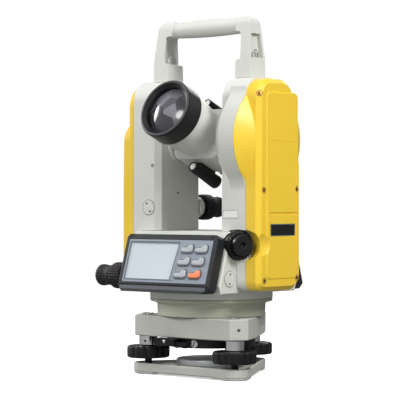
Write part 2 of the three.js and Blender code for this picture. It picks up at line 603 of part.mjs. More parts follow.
// Graduated disc of the vertical circle, on the right axle inside the drum of its standard.
function makeVerticalCircle() {
  const bore = AXLE_RADIUS + GAP;
  const ring = turned([[bore, 46], [38, 46], [38, 47.6], [bore, 47.6], [bore, 46]]);
  add('vertical_circle', alongX(ring, 0, 0, TRUNNION_Z), GLASS);
}

makeTribrach();
makeBase();
makePlummet();
makeStandard(true);
makeStandard(false);
makeRightCover();
makeLeftCover();
makeKnobs();
makeHandle();
makeKeyboard('front');
makeKeyboard('rear');
makeTelescope();
makeVerticalCircle();

export default instrument;
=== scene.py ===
"""Looks of the theodolite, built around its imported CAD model. Metres, +Z up, front towards -Y."""
import json
import math

import bmesh
import bpy
from mathutils import Matrix, Vector


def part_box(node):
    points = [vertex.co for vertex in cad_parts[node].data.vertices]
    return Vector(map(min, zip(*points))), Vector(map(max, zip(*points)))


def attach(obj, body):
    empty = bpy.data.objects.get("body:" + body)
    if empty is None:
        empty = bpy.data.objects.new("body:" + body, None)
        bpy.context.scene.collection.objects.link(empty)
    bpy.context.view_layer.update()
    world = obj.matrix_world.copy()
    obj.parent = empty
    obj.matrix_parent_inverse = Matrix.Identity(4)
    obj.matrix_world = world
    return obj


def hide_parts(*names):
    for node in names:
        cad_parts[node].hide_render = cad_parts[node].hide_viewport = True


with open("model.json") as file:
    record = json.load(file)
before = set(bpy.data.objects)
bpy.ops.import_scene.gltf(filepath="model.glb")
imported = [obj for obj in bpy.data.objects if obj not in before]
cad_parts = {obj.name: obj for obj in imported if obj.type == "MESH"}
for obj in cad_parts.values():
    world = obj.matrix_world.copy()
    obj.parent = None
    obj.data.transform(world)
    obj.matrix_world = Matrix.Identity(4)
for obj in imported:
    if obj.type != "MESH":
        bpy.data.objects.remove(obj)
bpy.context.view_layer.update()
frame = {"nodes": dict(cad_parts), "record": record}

MM = 0.001
NODES = frame["nodes"]
JOINTS = {joint["name"]: joint for joint in frame["record"]["behaviour"]["joints"]}
SLOT_OF = {part["node"]: part["material_slot"] for part in frame["record"]["subparts"]}

# ---------------------------------------------------------------- camera, light and floor
VIEW_AZIMUTH = math.radians(40)
EYE_HEIGHT = 0.165
EYE_DISTANCE = 1.662
EYE_SIDESTEP = 0.0108      # the instrument stands a little right of the picture's middle
SENSOR_WIDTH = 36          # mm
FOCAL_LENGTH = 157.5       # mm
LIGHT_TARGET = Vector((0, 0, 0.16))
LIGHTS = (                 # name, azimuth and elevation in degrees, distance, size, power in watts
    ("key_light", 82, 36, 1.7, 0.6, 21),
    ("front_light", 2, 32, 1.8, 0.6, 11),
    ("top_light", 30, 80, 1.5, 1.0, 2.5),
    ("rim_light", 205, 30, 1.9, 0.8, 7),
    ("left_light", -82, 18, 1.7, 0.8, 22),
    ("low_light", 20, 2, 1.6, 0.35, 0.9),
)
SKY_LIGHT = 0.4            # strength of the even light from above; the sky itself shows white
GROUND_LIGHT = 0.36        # strength of the even light from below
BACK_SHARE = 0.45          # share of the even light that comes from behind the instrument
FLOOR_REACH = 6.0
FADE_START = 0.3           # distance at which the floor starts to turn into even white
FADE_END = 2.2


def toward(azimuth_deg, elevation_deg, distance):
    """Point at a distance from the lights' target; azimuth 0 is in front (-Y), 90 is on the +X side."""
    azimuth, elevation = math.radians(azimuth_deg), math.radians(elevation_deg)
    flat = distance * math.cos(elevation)
    height = distance * math.sin(elevation)
    return LIGHT_TARGET + Vector((flat * math.sin(azimuth), -flat * math.cos(azimuth), height))


def make_camera():
    data = bpy.data.cameras.new("photo_camera")
    data.lens = FOCAL_LENGTH
    data.sensor_width = SENSOR_WIDTH
    camera = bpy.data.objects.new("photo_camera", data)
    bpy.context.scene.collection.objects.link(camera)
    back = Vector((math.sin(VIEW_AZIMUTH), -math.cos(VIEW_AZIMUTH), 0))
    right = Vector((math.cos(VIEW_AZIMUTH), math.sin(VIEW_AZIMUTH), 0))
    camera.location = EYE_DISTANCE * back - EYE_SIDESTEP * right + Vector((0, 0, EYE_HEIGHT))
    camera.rotation_euler = (math.pi / 2, 0, VIEW_AZIMUTH)
    bpy.context.scene.camera = camera


def make_light(name, azimuth, elevation, distance, size, watts):
    data = bpy.data.lights.new(name, "AREA")
    data.shape = "DISK"
    data.size = size
    data.energy = watts
    lamp = bpy.data.objects.new(name, data)
    bpy.context.scene.collection.objects.link(lamp)
    lamp.location = toward(azimuth, elevation, distance)
    lamp.rotation_euler = (LIGHT_TARGET - lamp.location).to_track_quat("-Z", "Y").to_euler()


def make_world():
    """Even light that weakens towards the back, under a sky that shows plain white."""
    world = bpy.data.worlds.new("studio")
    world.use_nodes = True
    tree = world.node_tree
    background = tree.nodes["Background"]
    background.inputs["Color"].default_value = (1, 1, 1, 1)
    direction = tree.nodes.new("ShaderNodeSeparateXYZ")
    tree.links.new(tree.nodes.new("ShaderNodeTexCoord").outputs["Generated"], direction.inputs["Vector"])
    by_height = remap(tree, direction.outputs["Z"], GROUND_LIGHT, SKY_LIGHT, -0.4, 0.5)
    by_depth = remap(tree, direction.outputs["Y"], 1, BACK_SHARE, -0.5, 0.5)
    glow = combine(tree, "MULTIPLY", by_height, by_depth)
    seen = tree.nodes.new("ShaderNodeLightPath").outputs["Is Camera Ray"]
    tree.links.new(combine(tree, "MAXIMUM", seen, glow), background.inputs["Strength"])
    bpy.context.scene.world = world


def make_floor():
    """Floor that takes shadows, but throws no light back on the instrument."""
    mesh = bpy.data.meshes.new("studio_floor")
    corners = [(x * FLOOR_REACH, y * FLOOR_REACH, 0) for x, y in ((-1, -1), (1, -1), (1, 1), (-1, 1))]
    mesh.from_pydata(corners, [], [(0, 1, 2, 3)])
    floor = bpy.data.objects.new("studio_floor", mesh)
    bpy.context.scene.collection.objects.link(floor)
    floor.data.materials.append(plain_floor())
    floor.visible_diffuse = False
    floor.visible_glossy = False


def make_studio():
    for light in LIGHTS:
        make_light(*light)
    make_world()
    bpy.context.scene.view_settings.view_transform = "Standard"
    make_floor()


# ---------------------------------------------------------------- materials
EDGE_RADIUS = 0.7 * MM      # how far from an edge the lightening reaches
EDGE_SAMPLES = 4
EDGE_LIGHTER = 1.35         # edge colour against the rest: partly rubbed paint, partly painted highlight
MOTTLE_SCALE = 28
GRAIN_DEPTH = 0.4 * MM
RING_SCALE = 260           # lathe rings on bare metal
RING_DEPTH = 0.2 * MM
GLASS_ROUGHNESS = 0.03


def srgb(red, green, blue):
    """Linear colour of an 8-bit sRGB one."""
    def linear(value):
        value /= 255
        return value / 12.92 if value <= 0.04045 else ((value + 0.055) / 1.055) ** 2.4
    return (linear(red), linear(green), linear(blue), 1)


def shaded(color, factor):
    return tuple(min(1, channel * factor) for channel in color[:3]) + (1,)


def new_material(name):
    material = bpy.data.materials.new(name)
    material.use_nodes = True
    tree = material.node_tree
    return material, tree, tree.nodes["Principled BSDF"]


def object_place(tree):
    return tree.nodes.new("ShaderNodeTexCoord").outputs["Object"]


def noise(tree, coordinates, scale, detail=3):
    node = tree.nodes.new("ShaderNodeTexNoise")
    node.inputs["Scale"].default_value = scale
    node.inputs["Detail"].default_value = detail
    node.inputs["Roughness"].default_value = 0.5
    tree.links.new(coordinates, node.inputs["Vector"])
    return node.outputs["Fac"]


def remap(tree, value, low, high, from_low=0.3, from_high=0.7):
    node = tree.nodes.new("ShaderNodeMapRange")
    ends = {"From Min": from_low, "From Max": from_high, "To Min": low, "To Max": high}
    for socket, number in ends.items():
        node.inputs[socket].default_value = number
    tree.links.new(value, node.inputs["Value"])
    return node.outputs["Result"]


def combine(tree, operation, first, second):
    node = tree.nodes.new("ShaderNodeMath")
    node.operation = operation
    tree.links.new(first, node.inputs[0])
    tree.links.new(second, node.inputs[1])
    return node.outputs["Value"]


def mix(tree, factor, first, second):
    node = tree.nodes.new("ShaderNodeMix")
    node.data_type = "RGBA"
    tree.links.new(factor, node.inputs["Factor"])
    for socket, color in ((node.inputs["A"], first), (node.inputs["B"], second)):
        if isinstance(color, tuple):
            socket.default_value = color
        else:
            tree.links.new(color, socket)
    return node.outputs["Result"]


def bump(tree, shader, height, strength, distance):
    node = tree.nodes.new("ShaderNodeBump")
    node.inputs["Strength"].default_value = strength
    node.inputs["Distance"].default_value = distance
    tree.links.new(height, node.inputs["Height"])
    tree.links.new(node.outputs["Normal"], shader.inputs["Normal"])


def worn_and_highlit_edges(tree, wear_and_highlight):
    """Factor that is 0 on flat ground and rises to the given value along edges, where the colour is
    lightened: partly rubbed paint, partly painted highlight.
    """
    rounded_off = tree.nodes.new("ShaderNodeBevel")
    rounded_off.samples = EDGE_SAMPLES
    rounded_off.inputs["Radius"].default_value = EDGE_RADIUS
    cosine = tree.nodes.new("ShaderNodeVectorMath")
    cosine.operation = "DOT_PRODUCT"
    tree.links.new(rounded_off.outputs["Normal"], cosine.inputs[0])
    tree.links.new(tree.nodes.new("ShaderNodeNewGeometry").outputs["Normal"], cosine.inputs[1])
    return remap(tree, cosine.outputs["Value"], wear_and_highlight, 0, 0.85, 0.995)


def coated(name, color, roughness, metallic=0.0, grain=900, relief=0.05, mottle=0.05, wear_and_highlight=0.12, coat=0.0,
           specular=0.5):
    """Paint or moulded plastic: mottled colour, uneven gloss, a fine grain and lighter edges, which are
    partly rubbed paint and partly painted highlight.
    """
    material, tree, shader = new_material(name)
    place = object_place(tree)
    broad = noise(tree, place, MOTTLE_SCALE, 4)
    fine = noise(tree, place, grain, 2)
    tone = mix(tree, remap(tree, broad, 0, 1), shaded(color, 1 - mottle), shaded(color, 1 + mottle))
    # edges lightened: partly rubbed paint, partly painted highlight
    tone = mix(tree, worn_and_highlit_edges(tree, wear_and_highlight), tone, shaded(color, EDGE_LIGHTER))
    tree.links.new(tone, shader.inputs["Base Color"])
    tree.links.new(remap(tree, fine, roughness * 0.85, roughness * 1.15), shader.inputs["Roughness"])
    bump(tree, shader, fine, relief, GRAIN_DEPTH)
    shader.inputs["Metallic"].default_value = metallic
    shader.inputs["Coat Weight"].default_value = coat
    shader.inputs["Coat Roughness"].default_value = 0.2
    shader.inputs["Specular IOR Level"].default_value = specular
    return material


def turned_metal(name, color, roughness):
    """Bare metal with the fine rings that a lathe leaves, seen as bands along the height."""
    material, tree, shader = new_material(name)
    place = object_place(tree)
    wave = tree.nodes.new("ShaderNodeTexWave")
    wave.bands_direction = "Z"
    wave.inputs["Scale"].default_value = RING_SCALE
    wave.inputs["Distortion"].default_value = 1.5
    wave.inputs["Detail"].default_value = 2
    tree.links.new(place, wave.inputs["Vector"])
    spots = noise(tree, place, 120)
    tree.links.new(mix(tree, spots, shaded(color, 0.9), shaded(color, 1.05)), shader.inputs["Base Color"])
    tree.links.new(remap(tree, spots, roughness * 0.7, roughness * 1.3), shader.inputs["Roughness"])
    bump(tree, shader, wave.outputs["Fac"], 0.08, RING_DEPTH)
    shader.inputs["Metallic"].default_value = 1
    return material


def clear_glass(name, color):
    material, tree, shader = new_material(name)
    haze = noise(tree, object_place(tree), 60, 4)
    tree.links.new(mix(tree, haze, shaded(color, 0.95), shaded(color, 1.05)), shader.inputs["Base Color"])
    gloss = remap(tree, haze, GLASS_ROUGHNESS * 0.6, GLASS_ROUGHNESS * 1.4)
    tree.links.new(gloss, shader.inputs["Roughness"])
    shader.inputs["Transmission Weight"].default_value = 1
    shader.inputs["IOR"].default_value = 1.52
    return material


def objective_glass():
    """Coated front lens: gray, with painted reflections of the elements behind it as soft lighter and darker
    cells in its colour, under a satin gloss.
    """
    material, tree, shader = new_material("objective_glass")
    place = object_place(tree)
    reflection_cells = tree.nodes.new("ShaderNodeTexVoronoi")
    reflection_cells.feature = "SMOOTH_F1"
    reflection_cells.inputs["Scale"].default_value = 62
    reflection_cells.inputs["Smoothness"].default_value = 0.06
    reflection_cells.inputs["Randomness"].default_value = 0.7
    tree.links.new(place, reflection_cells.inputs["Vector"])
    level = tree.nodes.new("ShaderNodeSeparateColor")
    tree.links.new(reflection_cells.outputs["Color"], level.inputs["Color"])
    share = remap(tree, level.outputs["Red"], 0, 1, 0.1, 0.9)
    # base colour mixes darker and lighter cells: painted reflections of the lens elements behind
    tree.links.new(mix(tree, share, srgb(58, 57, 62), srgb(128, 126, 133)), shader.inputs["Base Color"])
    tree.links.new(remap(tree, noise(tree, place, 45, 1), 0.1, 0.16), shader.inputs["Roughness"])
    shader.inputs["Coat Weight"].default_value = 0.6
    shader.inputs["Coat Roughness"].default_value = 0.22
    shader.inputs["Specular IOR Level"].default_value = 0.4
    return material


def liquid_crystal():
    """Unlit display: pale blue gray with a faint dot grid and lighter clouds."""
    material, tree, shader = new_material("liquid_crystal")
    place = object_place(tree)
    checks = tree.nodes.new("ShaderNodeTexChecker")
    checks.inputs["Scale"].default_value = 1500
    checks.inputs["Color1"].default_value = srgb(205, 216, 225)
    checks.inputs["Color2"].default_value = srgb(198, 209, 219)
    tree.links.new(place, checks.inputs["Vector"])
    cloud = noise(tree, place, 22, 2)
    tone = mix(tree, remap(tree, cloud, 0, 0.5), checks.outputs["Color"], srgb(218, 226, 232))
    tree.links.new(tone, shader.inputs["Base Color"])
    tree.links.new(remap(tree, cloud, 0.16, 0.24), shader.inputs["Roughness"])
    shader.inputs["Coat Weight"].default_value = 0.4
    return material


def plain_floor():
    """Pale paper, which turns into even white far from the instrument, as the sky does."""
    material, tree, shader = new_material("studio_floor")
    place = object_place(tree)
    cloud = noise(tree, place, 3, 2)
    reach = tree.nodes.new("ShaderNodeVectorMath")
    reach.operation = "LENGTH"
    tree.links.new(place, reach.inputs[0])
    far = remap(tree, reach.outputs["Value"], 0, 1, FADE_START, FADE_END)
    paper = mix(tree, cloud, srgb(246, 246, 245), srgb(250, 250, 249))
    tree.links.new(mix(tree, far, paper, (0, 0, 0, 1)), shader.inputs["Base Color"])
    tree.links.new(remap(tree, far, 0.42, 1, 0, 1), shader.inputs["Emission Strength"])
    shader.inputs["Roughness"].default_value = 1
    shader.inputs["Specular IOR Level"].default_value = 0
    shader.inputs["Emission Color"].default_value = (1, 1, 1, 1)
    return material


# Colour, roughness, and what else sets a coating apart.
COATINGS = {
    "cast_gray": (srgb(190, 192, 184), 0.5, dict(grain=700, relief=0.12, mottle=0.03)),
    "body_gray": (srgb(214, 216, 209), 0.48, dict(relief=0.12, mottle=0.02)),
    "ring_gray": (srgb(186, 188, 170), 0.45, dict(relief=0.08, mottle=0.02)),
    "yellow_plastic": (srgb(246, 207, 60), 0.4,
                       dict(grain=1100, relief=0.07, mottle=0.02, wear_and_highlight=0.3, coat=0.15)),
    "black_plastic": (srgb(24, 24, 26), 0.5,
                      dict(grain=1400, relief=0.15, mottle=0.1, wear_and_highlight=0.3, specular=0.3)),
    "black_paint": (srgb(20, 20, 22), 0.42,
                    dict(grain=800, relief=0.1, mottle=0.1, wear_and_highlight=0.3, specular=0.3)),
    "satin_black": (srgb(20, 20, 22), 0.36,
                    dict(grain=1600, relief=0.06, mottle=0.08, wear_and_highlight=0.3, specular=0.35)),
    "steel": (srgb(205, 207, 209), 0.34, dict(metallic=0.45, grain=500, relief=0.03, mottle=0.03)),
    "panel_blue": (srgb(142, 152, 164), 0.42, dict(grain=1800, mottle=0.02)),
    "key_gray": (srgb(176, 182, 186), 0.45, dict(grain=1500, relief=0.08, mottle=0.03)),
    "key_orange": (srgb(243, 138, 88), 0.45, dict(grain=1500, relief=0.08, mottle=0.03)),
    "white_mark": (srgb(240, 240, 238), 0.5, dict(relief=0.03, mottle=0.01)),
    # darker yellow: painted shade inside the cups of the cover screws
    "cup_shadow": (srgb(150, 104, 30), 0.5, {}),
    "housing_gray": (srgb(36, 38, 41), 0.42,
                     dict(grain=1200, relief=0.06, mottle=0.04, wear_and_highlight=0.6, specular=0.4)),
    "pad_rubber": (srgb(70, 150, 135), 0.7, {}),
    "knob_rubber": (srgb(36, 36, 38), 0.6, dict(grain=1500, relief=0.12, mottle=0.08, specular=0.35)),
    "hood_gray": (srgb(66, 65, 69), 0.45, dict(grain=1500, mottle=0.03)),
    "bezel_gray": (srgb(104, 111, 119), 0.45, dict(grain=1500, relief=0.04, mottle=0.02)),
    "lip_gray": (srgb(84, 88, 93), 0.4, dict(grain=1500, mottle=0.03)),
    # gray painted as the shadow round each key
    "shadow_gray": (srgb(72, 78, 84), 0.5, dict(grain=1500, relief=0.04, mottle=0.03)),
    "label_white": (srgb(238, 238, 236), 0.35, dict(grain=1500, relief=0.02, mottle=0.01)),
    "plate_black": (srgb(22, 22, 23), 0.3, dict(grain=1500, relief=0.03, mottle=0.04)),
    # near-black: painted shade where slots, holes and recesses would be dark, and also the dark joint lines
    # and the level's printed ring
    "hollow_shade_and_dark_line": (srgb(22, 22, 22), 0.8, dict(mottle=0.1)),
}
MATERIALS = {}
for name, (color, roughness, rest) in COATINGS.items():
    MATERIALS[name] = coated(name, color, roughness, **rest)
MATERIALS["chrome"] = turned_metal("chrome", (0.86, 0.86, 0.85, 1), 0.12)
MATERIALS["screw_bronze"] = turned_metal("screw_bronze", (0.5, 0.22, 0.06, 1), 0.45)
MATERIALS["circle_glass"] = clear_glass("circle_glass", (0.85, 0.92, 0.92, 1))
MATERIALS["lens_glass"] = objective_glass()
MATERIALS["display"] = liquid_crystal()

# ---------------------------------------------------------------- mesh helpers (local millimetres)
UPRIGHT = Matrix.Scale(MM, 4)
FRONTWARDS = (0, -1, 0)
WELD_DISTANCE = 1e-5
FLAT_ANGLE = math.radians(0.6)       # faces that turn less than this are one flat face
CREASE_ANGLE = math.radians(32)      # edges sharper than this stay crisp
BEVEL_ANGLE = math.radians(33)
BEVEL_SEGMENTS = 2


def frame_on(origin_m, axis, spin_deg=0):
    """Frame in metres whose local +Z runs along the axis from the origin; local lengths are millimetres."""
    turn = Vector(axis).to_track_quat("Z", "Y").to_matrix().to_4x4()
    spin = Matrix.Rotation(math.radians(spin_deg), 4, "Z")
    return Matrix.Translation(Vector(origin_m)) @ turn @ spin @ UPRIGHT


def smooth_group():
    """Modifier group: smooth shading, with sharp edges kept crisp."""
    group = bpy.data.node_groups.new("smooth_by_angle", "GeometryNodeTree")
    group.interface.new_socket("Geometry", in_out="INPUT", socket_type="NodeSocketGeometry")
    group.interface.new_socket("Geometry", in_out="OUTPUT", socket_type="NodeSocketGeometry")
    entry = group.nodes.new("NodeGroupInput")
    result = group.nodes.new("NodeGroupOutput")
    faces = group.nodes.new("GeometryNodeSetShadeSmooth")
    edges = group.nodes.new("GeometryNodeSetShadeSmooth")
    edges.domain = "EDGE"
    edges.inputs["Shade Smooth"].default_value = False
    angle = group.nodes.new("GeometryNodeInputMeshEdgeAngle")
    sharp = group.nodes.new("FunctionNodeCompare")
    sharp.data_type = "FLOAT"
    sharp.operation = "GREATER_THAN"
    sharp.inputs["B"].default_value = CREASE_ANGLE
    group.links.new(angle.outputs["Unsigned Angle"], sharp.inputs["A"])
    group.links.new(entry.outputs["Geometry"], faces.inputs["Geometry"])
    group.links.new(faces.outputs["Geometry"], edges.inputs["Geometry"])
    group.links.new(sharp.outputs["Result"], edges.inputs["Selection"])
    group.links.new(edges.outputs["Geometry"], result.inputs["Geometry"])
    return group


SMOOTH = smooth_group()


def soften(piece, bevel_mm):
    """Rounds the edges of a piece with modifiers and shades it smooth."""
    if bevel_mm:
        bevel = piece.modifiers.new("bevel", "BEVEL")
        bevel.width = bevel_mm * MM
        bevel.segments = BEVEL_SEGMENTS
        bevel.limit_method = "ANGLE"
        bevel.angle_limit = BEVEL_ANGLE
        bevel.use_clamp_overlap = True
    smooth = piece.modifiers.new("smooth", "NODES")
    smooth.node_group = SMOOTH
    level = piece.modifiers.new("level", "WEIGHTED_NORMAL")
    level.keep_sharp = True
    level.weight = 100
    level.thresh = 0.1


def dress_node(name, bevel_mm, material):
    """Gives a CAD node its finish and rounded edges, once its triangles are joined into flat faces."""
    piece = NODES[name]
    piece.data.materials.clear()
    piece.data.materials.append(MATERIALS[material])
    weld = piece.modifiers.new("weld", "WELD")
    weld.merge_threshold = WELD_DISTANCE
    flats = piece.modifiers.new("flats", "DECIMATE")
    flats.decimate_type = "DISSOLVE"
    flats.angle_limit = FLAT_ANGLE
    soften(piece, bevel_mm)


def build(name, shape, place, body, material, stands_for=(), bevel_mm=0.0):
    """Makes a named piece from a bmesh in local millimetres and lets it ride on a body."""
    shape.transform(place)
    mesh = bpy.data.meshes.new(name)
    shape.to_mesh(mesh)
    shape.free()
    piece = bpy.data.objects.new(name, mesh)
    bpy.context.scene.collection.objects.link(piece)
    mesh.materials.append(MATERIALS[material])
    soften(piece, bevel_mm)
    if stands_for:
        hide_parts(*stands_for)
    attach(piece, body)


def lathe(profile, sides=96, ribs=0, depth=0.0, zone=(0, 0), sharpness=1.0):
    """Body of revolution about local Z from (radius, z) pairs, ribbed where z is inside the zone."""
    shape = bmesh.new()
    rings = []
    closed = profile[0] == profile[-1]
    for radius, z in profile[:-1] if closed else profile:
        if radius == 0:
            rings.append([shape.verts.new((0, 0, z))])
            continue
        ring = []
        for k in range(sides):
            angle = 2 * math.pi * k / sides
            wave = (0.5 + 0.5 * math.cos(ribs * angle)) ** sharpness
            reach = radius - (depth * (1 - wave) if ribs and zone[0] <= z <= zone[1] else 0)
            ring.append(shape.verts.new((reach * math.cos(angle), reach * math.sin(angle), z)))
        rings.append(ring)
    pairs = zip(rings, rings[1:] + rings[:1] if closed else rings[1:])
    for lower, upper in pairs:
        for k in range(sides):
            after = k + 1
            corners = [lower[k % len(lower)], lower[after % len(lower)],
                       upper[after % len(upper)], upper[k % len(upper)]]
            unique = list(dict.fromkeys(corners))
            if len(unique) > 2:
                shape.faces.new(unique)
    bmesh.ops.recalc_face_normals(shape, faces=shape.faces)
    return shape


def loft(rows, closed=False):
    """Body through outlines with equally many points, each at its own height; capped unless closed."""
    shape = bmesh.new()
    rings = [[shape.verts.new((x, y, z)) for x, y in outline] for outline, z in rows]
    for lower, upper in zip(rings, rings[1:] + rings[:1] if closed else rings[1:]):
        for k in range(len(lower)):
            after = (k + 1) % len(lower)
            shape.faces.new([lower[k], lower[after], upper[after], upper[k]])
    if not closed:
        shape.faces.new(list(reversed(rings[0])))
        shape.faces.new(rings[-1])
    bmesh.ops.recalc_face_normals(shape, faces=shape.faces)
    return shape


def prism(outline, low, high):
    """Outline in local X-Y, extruded from low to high along Z."""
    return loft([(outline, low), (outline, high)])


def band(outer, inner, low, high):
    """Flat band between two outlines with equally many points."""
    return loft([(outer, low), (outer, high), (inner, high), (inner, low)], closed=True)


def arc(cx, cy, radius, start_deg, end_deg, steps=8):
    points = []
    for k in range(steps + 1):
        angle = math.radians(start_deg + (end_deg - start_deg) * k / steps)
        points.append((cx + radius * math.cos(angle), cy + radius * math.sin(angle)))
    return points


def rounded(x0, y0, x1, y1, r, steps=6):
    """Rectangle with rounded corners."""
    return (arc(x1 - r, y0 + r, r, -90, 0, steps) + arc(x1 - r, y1 - r, r, 0, 90, steps)
            + arc(x0 + r, y1 - r, r, 90, 180, steps) + arc(x0 + r, y0 + r, r, 180, 270, steps))


def centred(half_width, half_height, r, steps=6):
    return rounded(-half_width, -half_height, half_width, half_height, r, steps)


def merged(*shapes):
    """One bmesh holding several."""
    total = bmesh.new()
    for shape in shapes:
        mesh = bpy.data.meshes.new("scratch")
        shape.to_mesh(mesh)
        shape.free()
        total.from_mesh(mesh)
        bpy.data.meshes.remove(mesh)
    return total


def moved(shape, x=0.0, y=0.0, z=0.0):
    shape.transform(Matrix.Translation((x, y, z)))
    return shape


# ---------------------------------------------------------------- screws and caps
CROSS_ARM = (1.3, 0.25)      # half length and half width


def screw_at(point, normal, radius, name, body, slot_turn):
    """Slotted screw head in chrome, its slot drawn as a near-black bar on the head: painted shade."""
    place = frame_on(point, normal, slot_turn)
    head = lathe([(0, -0.6), (radius, -0.6), (radius, 0.35), (radius * 0.9, 0.6), (0, 0.6)], sides=40)
    build(name, head, place, body, "chrome")
    slot_shade = prism(centred(radius * 0.84, radius * 0.13, radius * 0.1, 2), 0.55, 0.68)
    build(name + "_groove", slot_shade, place, body, "hollow_shade_and_dark_line")


def pin_cap(point, normal, radius, name, turn):
    """Round cover cap, flush in the casting, with a dark seam ring and two pin holes for its key; the pin
    holes are near-black discs, painted shade.
    """
    place = frame_on(point, normal, turn)
    inner, seam, outer = radius - 0.25, radius - 0.3, radius + 0.15
    cap = lathe([(0, -0.5), (inner, -0.5), (inner, 0.25), (radius - 0.5, 0.45), (0, 0.45)], sides=64)
    build(name, cap, place, "alidade", "body_gray")
    line = lathe([(seam, 0.02), (outer, 0.02), (outer, 0.16), (seam, 0.16), (seam, 0.02)], sides=64)
    build(name + "_seam", line, place, "alidade", "hollow_shade_and_dark_line")
    for end, sign in (("a", -1), ("b", 1)):
        hole = moved(lathe([(0, 0.3), (1.0, 0.3), (1.0, 0.52), (0, 0.52)], sides=20), x=sign * radius * 0.58)
        build(f"{name}_hole_{end}", hole, place, "alidade", "hollow_shade_and_dark_line")


def cross_screw(point, normal, index):
    """Bronze cross-headed screw of the right cover; its cross is near-black bars and its cup is coloured
    darker yellow, both painted shade.
    """
    place = frame_on(point, normal, 45)
    cup = lathe([(1.9, -0.5), (3, -0.5), (3, 0.1), (2.8, 0.16), (2.5, 0.1), (1.9, -0.5)], sides=48)
    build(f"cover_cup_{index}", cup, place, "alidade", "cup_shadow")
    head = lathe([(0, -0.6), (2.1, -0.6), (2.1, -0.1), (1.6, 0.12), (0, 0.16)], sides=40)
    build(f"cover_screw_{index}", head, place, "alidade", "screw_bronze")
    length, width = CROSS_ARM
    bars = [prism(centred(*half, 0.1, 2), 0.1, 0.2) for half in ((length, width), (width, length))]
    build(f"cover_cross_shade_{index}", merged(*bars), place, "alidade", "hollow_shade_and_dark_line")


# ---------------------------------------------------------------- tribrach
FEET = [name[:-len("_turn")] for name in JOINTS if name.startswith("foot_screw")]
FOOT_SCREW = [
    (0, 2.9), (2.2, 3.1), (4.2, 6.6), (3.4, 9.6), (3.4, 14.8), (15.5, 14.8), (18.8, 15.1), (20, 15.8),
    (20.4, 16.8), (20.4, 24.4), (20, 25.5), (18.8, 26.3), (15.5, 26.5), (14.6, 26.1), (10, 26.1),
    (9.2, 26.5), (5, 26.5), (5, 46), (0, 46),
]
FOOT_LOBES = {"ribs": 10, "depth": 1.1, "zone": (15.5, 25.8), "sharpness": 0.4}
BUSH_RADIUS = 8.8
FOOT_BUSH = [
    (5.3, 27), (8.5, 27), (BUSH_RADIUS, 27.4), (BUSH_RADIUS, 35.8), (8.5, 36.2), (5.3, 36.2), (5.3, 27),
]
FOOT_NUT = [(0, 56), (5.6, 56), (6, 56.3), (6, 57), (5.4, 57.5), (2.6, 57.5), (2.2, 56.9), (0, 56.9)]
PIN_HOLE_HEIGHT = 31
PIN_HOLE_TURN = 82           # degrees round the bush from the outward side
PAD_RIM = [(12.3, 0), (12.7, 0), (12.8, 0.15), (12.8, 0.5), (12.3, 0.6), (12.3, 0)]


def foot_spot(foot):
    x, y, _ = JOINTS[foot + "_turn"]["pos_m"]
    return x, y


def make_foot_screws():
    """Foot screws with lobed knobs, their chrome bushes and end nuts, and the pin holes of the bushes, drawn
    as near-black discs: painted shade.
    """
    for foot in FEET:
        x, y = foot_spot(foot)
        place = Matrix.Translation((x, y, 0)) @ UPRIGHT
        screw = lathe(FOOT_SCREW, sides=160, **FOOT_LOBES)
        build(foot + "_fine", screw, place, foot, "black_paint", (foot,))
        bush = foot.replace("screw", "bush")
        build(bush + "_fine", lathe(FOOT_BUSH, sides=64), place, "tribrach", "chrome", (bush,))
        build(foot.replace("screw", "nut"), lathe(FOOT_NUT, sides=48), place, "tribrach", "chrome")
        hole = lathe([(0, 0), (0.9, 0), (1.1, 0.15), (1.1, 0.3), (0, 0.3)], sides=20)
        turn = Matrix.Rotation(math.atan2(y, x) + math.radians(PIN_HOLE_TURN), 4, "Z")
        side = turn @ Matrix.Translation((BUSH_RADIUS - 0.2, 0, PIN_HOLE_HEIGHT))
        facing = Matrix.Rotation(math.pi / 2, 4, "Y")
        build(foot.replace("screw", "pin_hole"), hole, place @ side @ facing, "tribrach", "hollow_shade_and_dark_line")


def make_lower_base():
    base = lathe([
        (13.4, 56.3), (50.7, 56.3), (51, 56.7), (51.5, 67.2), (52.2, 68.2), (54.6, 69.1), (57.3, 69.7),
        (57.9, 70.3), (58, 71), (58, 72.3), (57.6, 72.7), (22, 72.7), (22, 75.4), (13.4, 75.4), (13.4, 56.3),
    ], sides=160)
    build("lower_base_fine", base, UPRIGHT, "tribrach", "ring_gray", ("lower_base",))
    gasket = lathe([(49, 55.9), (50.4, 55.9), (50.4, 56.5), (49, 56.5), (49, 55.9)], sides=128)
    build("tribrach_gasket", gasket, UPRIGHT, "tribrach", "hollow_shade_and_dark_line")


def make_round_level():
    low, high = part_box("circular_level")
    x, y = (low[0] + high[0]) / 2, (low[1] + high[1]) / 2
    place = Matrix.Translation((x, y, low[2])) @ UPRIGHT
    case = lathe([
        (0, 0), (8, 0), (8.5, 0.5), (8.5, 6), (8, 6.7), (6.8, 7), (6.4, 6.6), (6.2, 6), (0, 6),
    ], sides=64)
    build("round_level_case", case, place, "tribrach", "chrome", ("circular_level",))
    glass = lathe([(0, 5.8), (6.1, 5.8), (6.1, 6.3), (3, 6.7), (0, 6.8)], sides=48)
    build("round_level_glass", glass, place, "tribrach", "circle_glass")
    mark = lathe([(1.9, 6.75), (2.2, 6.75), (2.2, 6.95), (1.9, 6.95), (1.9, 6.75)], sides=40)
    build("round_level_mark", mark, place, "tribrach", "hollow_shade_and_dark_line")


LEVER_BACK, FINGER_FRONT, STOP_FRONT = 43.2, 51.6, 49.6      # in front of the axis
LOCK_MARK_SPOT = (-0.0148, -FINGER_FRONT * MM, 0.0332)
LOCK_SCREW_SPOT = (0.0125, -0.0402, 0.0315)
LOCK_SCREW_FACING = (0.28, -0.96, 0)


